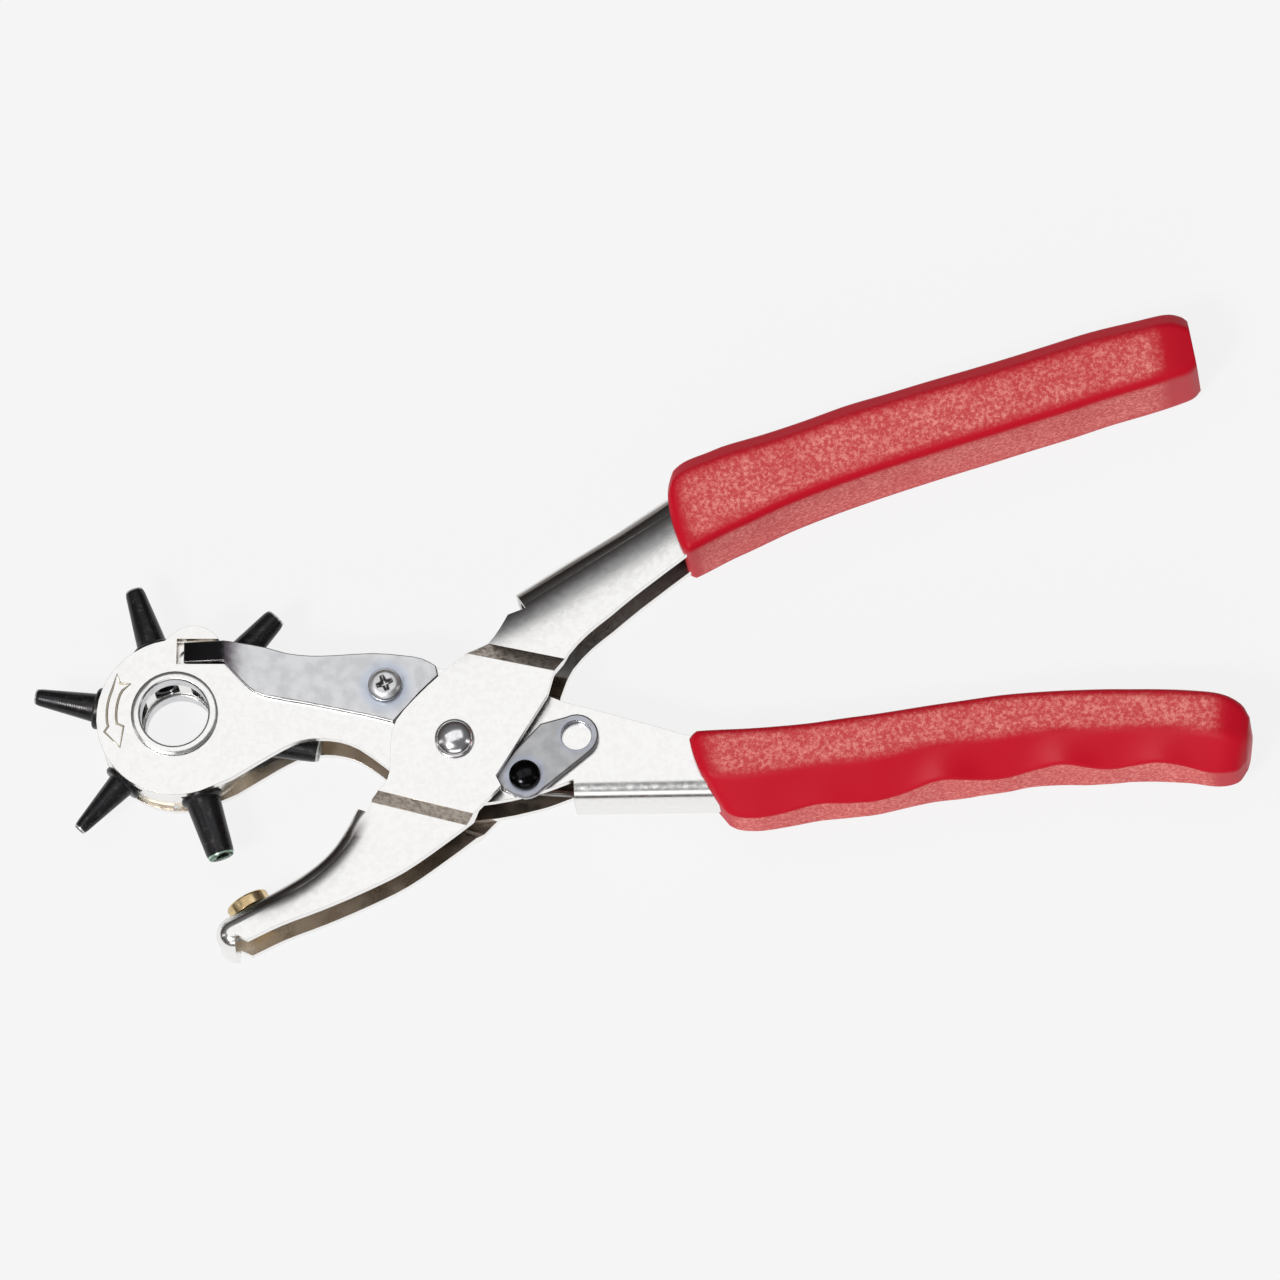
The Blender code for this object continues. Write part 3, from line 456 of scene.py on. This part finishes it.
# ---- grips -----------------------------------------------------------------------------------------------
# The section functions take the grip's width, half thickness and finger hollow at one station, and the
# pebble functions also a point (s, z) of that section. Both grips share these signatures.
def rounded_loop(corners, steps=4, fill=9):
    """A closed loop of (s, z) with each corner (s, z, radius) rounded and points along the straights."""
    arcs = []
    for i, (s, z, radius) in enumerate(corners):
        here = Vector((s, z))
        before = Vector(corners[i - 1][:2]) - here
        after = Vector(corners[(i + 1) % len(corners)][:2]) - here
        half = before.angle(after) / 2
        reach = min(radius / math.tan(half), before.length * 0.48, after.length * 0.48)
        start, end = here + before.normalized() * reach, here + after.normalized() * reach
        shares = [k / steps for k in range(steps + 1)]
        arcs.append([(1 - t) ** 2 * start + 2 * t * (1 - t) * here + t * t * end for t in shares])
    loop = []
    for here, there in zip(arcs, arcs[1:] + arcs[:1]):
        loop += here + [here[-1].lerp(there[0], k / (fill + 1)) for k in range(1, fill + 1)]
    return loop


def lower_section(length, half, hollow):
    """Corners of the lower grip: flat faces, a long bevel towards the fingers, and the finger side."""
    crease = half - 4.8 + 2.6 * hollow
    front = [(0.0, crease, 1.0), (0.42 * length, half, 3.0), (length, half, 1.7)]
    return front + [(s, -z, r) for s, z, r in reversed(front)]


def lower_pebble(s, z, length, half, hollow):
    """1 on the flat faces and the finger side, 0 on the smooth bevel and the opposite edge."""
    if s < 0.06 * length and abs(z) < half - 5.2 + 2.6 * hollow:
        return 1.0
    return ease(s, 0.40 * length, 0.55 * length) * (1 - ease(s, length - 2.0, length - 0.6))


def upper_section(length, half, hollow):
    """Corners of the upper grip: square towards the palm gap, bevelled at its back."""
    bevel = min(2.8, 0.25 * length)
    front = [(0.0, half, 1.6), (length - bevel, half, 2.0), (length, half - 2.6, 1.6)]
    return front + [(s, -z, r) for s, z, r in reversed(front)]


def upper_pebble(s, z, length, half, hollow):
    """1 on the flat faces and the palm side, 0 along the bevels."""
    if s < 0.3:
        return ease(half - abs(z), 0.8, 2.2)
    return ease(s, 0.9, 2.6) * (1 - ease(s, length - 5.2, length - 2.2))


def grip(stations, section, pebble, hollows, end_bevel, rim):
    """A moulded grip lofted along its stations, rounded at the rim and closed at its end.

    The rim is three offsets along the handle, in mm: at the hand side, in the middle and opposite.
    """
    lows = smooth([low for low, _ in stations], CURVE_STEPS)
    highs = smooth([high for _, high in stations], CURVE_STEPS)
    run = [0.0]
    for a, b in zip(lows, lows[1:]):
        run.append(run[-1] + (b - a).length)
    total = run[-1]
    bm = bmesh.new()
    layer = bm.verts.layers.float.new("pebble")
    rings = []
    for low, high, along in zip(lows, highs, run):
        left = total - along
        hollow = sum(depth * math.exp(-((low.x - x) / HOLLOW_REACH) ** 2) for x, depth in hollows)
        inset = RIM_INSET * (1 - ease(along, 0.0, 1.6)) ** 2
        half = GRIP_HALF - inset - end_bevel * (1 - ease(left, -2.0, 6.0))
        axis = (high - low).normalized()
        forward = Vector((axis.y, -axis.x))
        low, high = low + axis * inset, high - axis * inset
        fade = 1 - ease(along, 0.0, 9.0)
        ends = ease(along, 1.2, 4.0) * ease(left, 5.5, 9.0)
        size = (high - low).length
        ring = []
        for s, z in rounded_loop(section(size, half, hollow)):
            share = min(max(s / size, 0.0), 1.0)
            push = rim[0] * (1 - share) ** 2 + rim[1] * 2 * share * (1 - share) + rim[2] * share ** 2
            plan = low + axis * s + forward * push * fade
            vert = bm.verts.new((plan.x * MM, plan.y * MM, (MID_Z + z) * MM))
            vert[layer] = ends * pebble(s, z, size, half, hollow)
            ring.append(vert)
        rings.append(ring)
    for here, there in zip(rings, rings[1:]):
        for i in range(len(here)):
            j = (i + 1) % len(here)
            bm.faces.new((here[i], here[j], there[j], there[i]))
    bm.faces.new(rings[-1][::-1])
    return bm, rings


def finish_grip(node, body, bm, rings):
    """Turns the rim inwards, closes it behind the handle and makes the piece."""
    layer = bm.verts.layers.float["pebble"]
    rim = rings[0]
    centre = sum((v.co for v in rim), Vector()) / len(rim)
    forward = (sum((v.co for v in rings[4]), Vector()) / len(rim) - centre).normalized()
    previous = rim
    for shrink, push in ((0.90, 0.15), (0.82, RIM_DEPTH * 0.4), (0.80, RIM_DEPTH)):
        ring = []
        for vert in rim:
            made = bm.verts.new(centre + (vert.co - centre) * shrink + forward * push * MM)
            made[layer] = 0.0
            ring.append(made)
        for i in range(len(rim)):
            j = (i + 1) % len(rim)
            bm.faces.new((previous[j], previous[i], ring[i], ring[j]))
        previous = ring
    bm.faces.new(previous)
    bmesh.ops.recalc_face_normals(bm, faces=bm.faces)
    piece(node + "_finish", bm, body, [RED], (node,))


def closed_line(name, points, radius, body, material):
    """A thin raised line that runs once round the points, in metres."""
    curve = bpy.data.curves.new(name, "CURVE")
    curve.dimensions = "3D"
    curve.bevel_depth = radius
    curve.bevel_resolution = 2
    spline = curve.splines.new("POLY")
    spline.points.add(len(points) - 1)
    spline.use_cyclic_u = True
    for target, point in zip(spline.points, points):
        target.co = (*point, 1)
    guide = bpy.data.objects.new(name + "_path", curve)
    bpy.context.scene.collection.objects.link(guide)
    mesh = bpy.data.meshes.new_from_object(guide.evaluated_get(bpy.context.evaluated_depsgraph_get()))
    bpy.data.objects.remove(guide)
    bm = bmesh.new()
    bm.from_mesh(mesh)
    bpy.data.meshes.remove(mesh)
    piece(name, bm, body, [material])


def turn_arrow():
    """The arrow on the cheek that shows which way the wheel turns.

    Its outline is (radius in mm, angle in degrees) round the wheel's centre.
    """
    outline = [(13.0, 145), (11.5, 150.5), (9.9, 145.5), (10.5, 155)]
    outline += [(10.6, 160 + 6 * i) for i in range(6)]
    outline += [(9.5, 194.5), (11.6, 213), (13.1, 195), (12.2, 191)]
    outline += [(12.3, 188 - 6 * i) for i in range(6)]
    points = []
    for radius, angle in outline:
        turn = math.radians(angle)
        plan = WHEEL_CENTRE + radius * Vector((math.cos(turn), math.sin(turn)))
        points.append((plan.x * MM, plan.y * MM, (MID_Z + 6.5) * MM))
    closed_line("turn_arrow", points, LINE_RADIUS * MM, "fixed_lever", LINE)


# ---- the object ------------------------------------------------------------------------------------------
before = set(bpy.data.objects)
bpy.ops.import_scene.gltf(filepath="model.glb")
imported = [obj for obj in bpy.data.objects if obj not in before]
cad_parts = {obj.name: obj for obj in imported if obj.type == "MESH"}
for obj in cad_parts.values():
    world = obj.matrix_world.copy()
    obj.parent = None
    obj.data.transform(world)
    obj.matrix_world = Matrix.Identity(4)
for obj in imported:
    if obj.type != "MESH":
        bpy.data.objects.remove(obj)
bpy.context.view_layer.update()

NICKEL, INSIDE_PAINTED_SHADE, EDGE_PAINTED_SHADE, LINE = nickel(), nickel_inside(), nickel_edge(), nickel_line()
ZINC, ZINC_EDGE_PAINTED_SHADE = zinc()[0], zinc_edge()
RED = red_plastic()
BLACK = black_lacquer()
TUBE = tube_black("blued_punch_tube", (0.60, 0.62, 0.60))
ACTIVE_TUBE = tube_black("blued_active_tube", (0.45, 0.62, 0.50))
SHINY = polished_nickel()

rounded("wheel_lever", "fixed_lever", [NICKEL, INSIDE_PAINTED_SHADE, EDGE_PAINTED_SHADE], 0.30, hollow=0.0125)
rounded("anvil_lever", "moving_lever", [nickel_of_anvil_lever(), INSIDE_PAINTED_SHADE, nickel_step(), EDGE_PAINTED_SHADE],
        0.30, hollow=0.0170, steps=PRESSED_STEPS)
rounded("punch_wheel", "wheel", [NICKEL], 0.15)
for node in ("axle_bush_front", "axle_bush_rear"):
    rounded(node, "fixed_lever", [NICKEL, ZINC], 0.12, hollow=0.014)
rounded("index_spring", "fixed_lever", [index_spring_zinc(), ZINC_EDGE_PAINTED_SHADE], 0.18)
rounded("lock_catch", "catch", [catch_zinc(), ZINC_EDGE_PAINTED_SHADE], 0.2)
rounded("catch_rivet", "fixed_lever", [BLACK], 0.12)
rounded("anvil", "moving_lever", [brass()], 0.12)
rounded("pivot_rivet", "fixed_lever", [SHINY], 0.12)
# The screws' cross recesses and edges take the zinc with painted shade.
for node in ("index_spring_screw", "pillar_rear_screw"):
    rounded(node, "fixed_lever", [ZINC, ZINC_EDGE_PAINTED_SHADE], 0.14, hollow=0.004)
for node in ("pivot_sleeve", "neck_pillar"):
    rounded(node, "fixed_lever", [ZINC], 0.12)
for node in sorted(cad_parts):
    if node.startswith("punch_tube"):
        finish = ACTIVE_TUBE if node.endswith("4_5") else TUBE
        rounded(node, "wheel", [finish], 0.08, angle=24.0)

coil = bmesh.new()
coil.from_mesh(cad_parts["opening_spring"].data)
bmesh.ops.remove_doubles(coil, verts=coil.verts, dist=WELD)
coil_piece = piece("opening_spring_finish", coil, None, [spring_wire()], ("opening_spring",))
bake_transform(coil_piece, "fixed_lever", "moving_lever", start=(0, -5.5 * MM, MID_Z * MM),
         end=(0, 5.5 * MM, MID_Z * MM))

bm, rings = grip(LOWER_GRIP, lower_section, lower_pebble, FINGER_HOLLOWS, 2.0, (0.6, -2.0, -1.4))
finish_grip("lower_grip", "fixed_lever", bm, rings)
bm, rings = grip(UPPER_GRIP, upper_section, upper_pebble, (), 0.9, (-1.2, -3.0, -1.2))
finish_grip("upper_grip", "moving_lever", bm, rings)
turn_arrow()


# ---- studio ------------------------------------------------------------------------------------------------
def area_light(name, location, size, radiance):
    """A soft rectangular light that looks at the tool, with its brightness as seen in a mirror."""
    data = bpy.data.lights.new(name, "AREA")
    data.shape = "RECTANGLE"
    data.size, data.size_y = size
    data.energy = radiance * math.pi * size[0] * size[1]
    light = bpy.data.objects.new(name, data)
    light.location = location
    aim = Vector((0.03, 0.02, 0.01)) - light.location
    light.rotation_euler = aim.to_track_quat("-Z", "Y").to_euler()
    bpy.context.scene.collection.objects.link(light)


def studio():
    """Pale floor, dim world, an overhead softbox, a front fill, two side strips and a key light."""
    made, graph, shader = new_material("studio_floor", Roughness=0.9, Specular_IOR_Level=0.1)
    tone = graph.noise(graph.position(), 3.0, 2.0)
    graph.put(shader, "Base Color", graph.mix(tone, (0.060, 0.060, 0.060), (0.064, 0.064, 0.064)))
    shader.inputs["Emission Color"].default_value = (1.0, 1.0, 1.0, 1)
    shader.inputs["Emission Strength"].default_value = 0.858
    bm = bmesh.new()
    bmesh.ops.create_grid(bm, x_segments=2, y_segments=2, size=5.0)
    mesh = bpy.data.meshes.new("studio_floor")
    bm.to_mesh(mesh)
    bm.free()
    floor = bpy.data.objects.new("studio_floor", mesh)
    mesh.materials.append(made)
    bpy.context.scene.collection.objects.link(floor)

    world = bpy.data.worlds.new("studio")
    bpy.context.scene.world = world
    world.use_nodes = True
    graph = Graph(world.node_tree)
    way = graph.add("ShaderNodeTexCoord").outputs["Generated"]
    up = graph.add("ShaderNodeSeparateXYZ", None, Vector=way).outputs[2]
    tint = graph.mix(graph.ramp(up, 0.1, 0.8), (0.05, 0.038, 0.032), (0.16, 0.16, 0.165))
    graph.put(world.node_tree.nodes["Background"], "Color", tint)

    area_light("softbox_overhead", (-0.04, 0.20, 0.80), (1.00, 0.50), 0.88)
    area_light("softbox_front", (0.05, -0.86, 0.50), (0.90, 0.36), 1.25)
    area_light("strip_left", (-0.90, -0.10, 0.50), (0.16, 0.50), 1.1)
    area_light("strip_right", (0.95, -0.10, 0.50), (0.20, 0.60), 1.1)
    key = bpy.data.lights.new("key_sun", "SUN")
    key.energy = 1.9
    key.angle = math.radians(14)
    sun = bpy.data.objects.new("key_sun", key)
    sun.rotation_euler = Vector((0.35, 0.45, -0.82)).to_track_quat("-Z", "Y").to_euler()
    bpy.context.scene.collection.objects.link(sun)


def camera():
    """A long lens nearly overhead, tilted a little towards the grips' lower side."""
    back = CAMERA_BACK.normalized()
    right = CAMERA_RIGHT.normalized()
    up = back.cross(right)
    data = bpy.data.cameras.new("camera")
    data.lens = LENS
    data.sensor_width = SENSOR
    data.clip_end = 20.0
    view = bpy.data.objects.new("camera", data)
    distance = FRAME_WIDTH * LENS / SENSOR
    target = Vector((0, 0, MID_Z * MM)) + right * VIEW_RIGHT + up * VIEW_UP
    turn = Matrix((right, up, back)).transposed().to_4x4()
    view.matrix_world = Matrix.Translation(target + back * distance) @ turn
    bpy.context.scene.collection.objects.link(view)
    bpy.context.scene.camera = view


studio()
camera()
bpy.context.scene.view_settings.view_transform = "Standard"
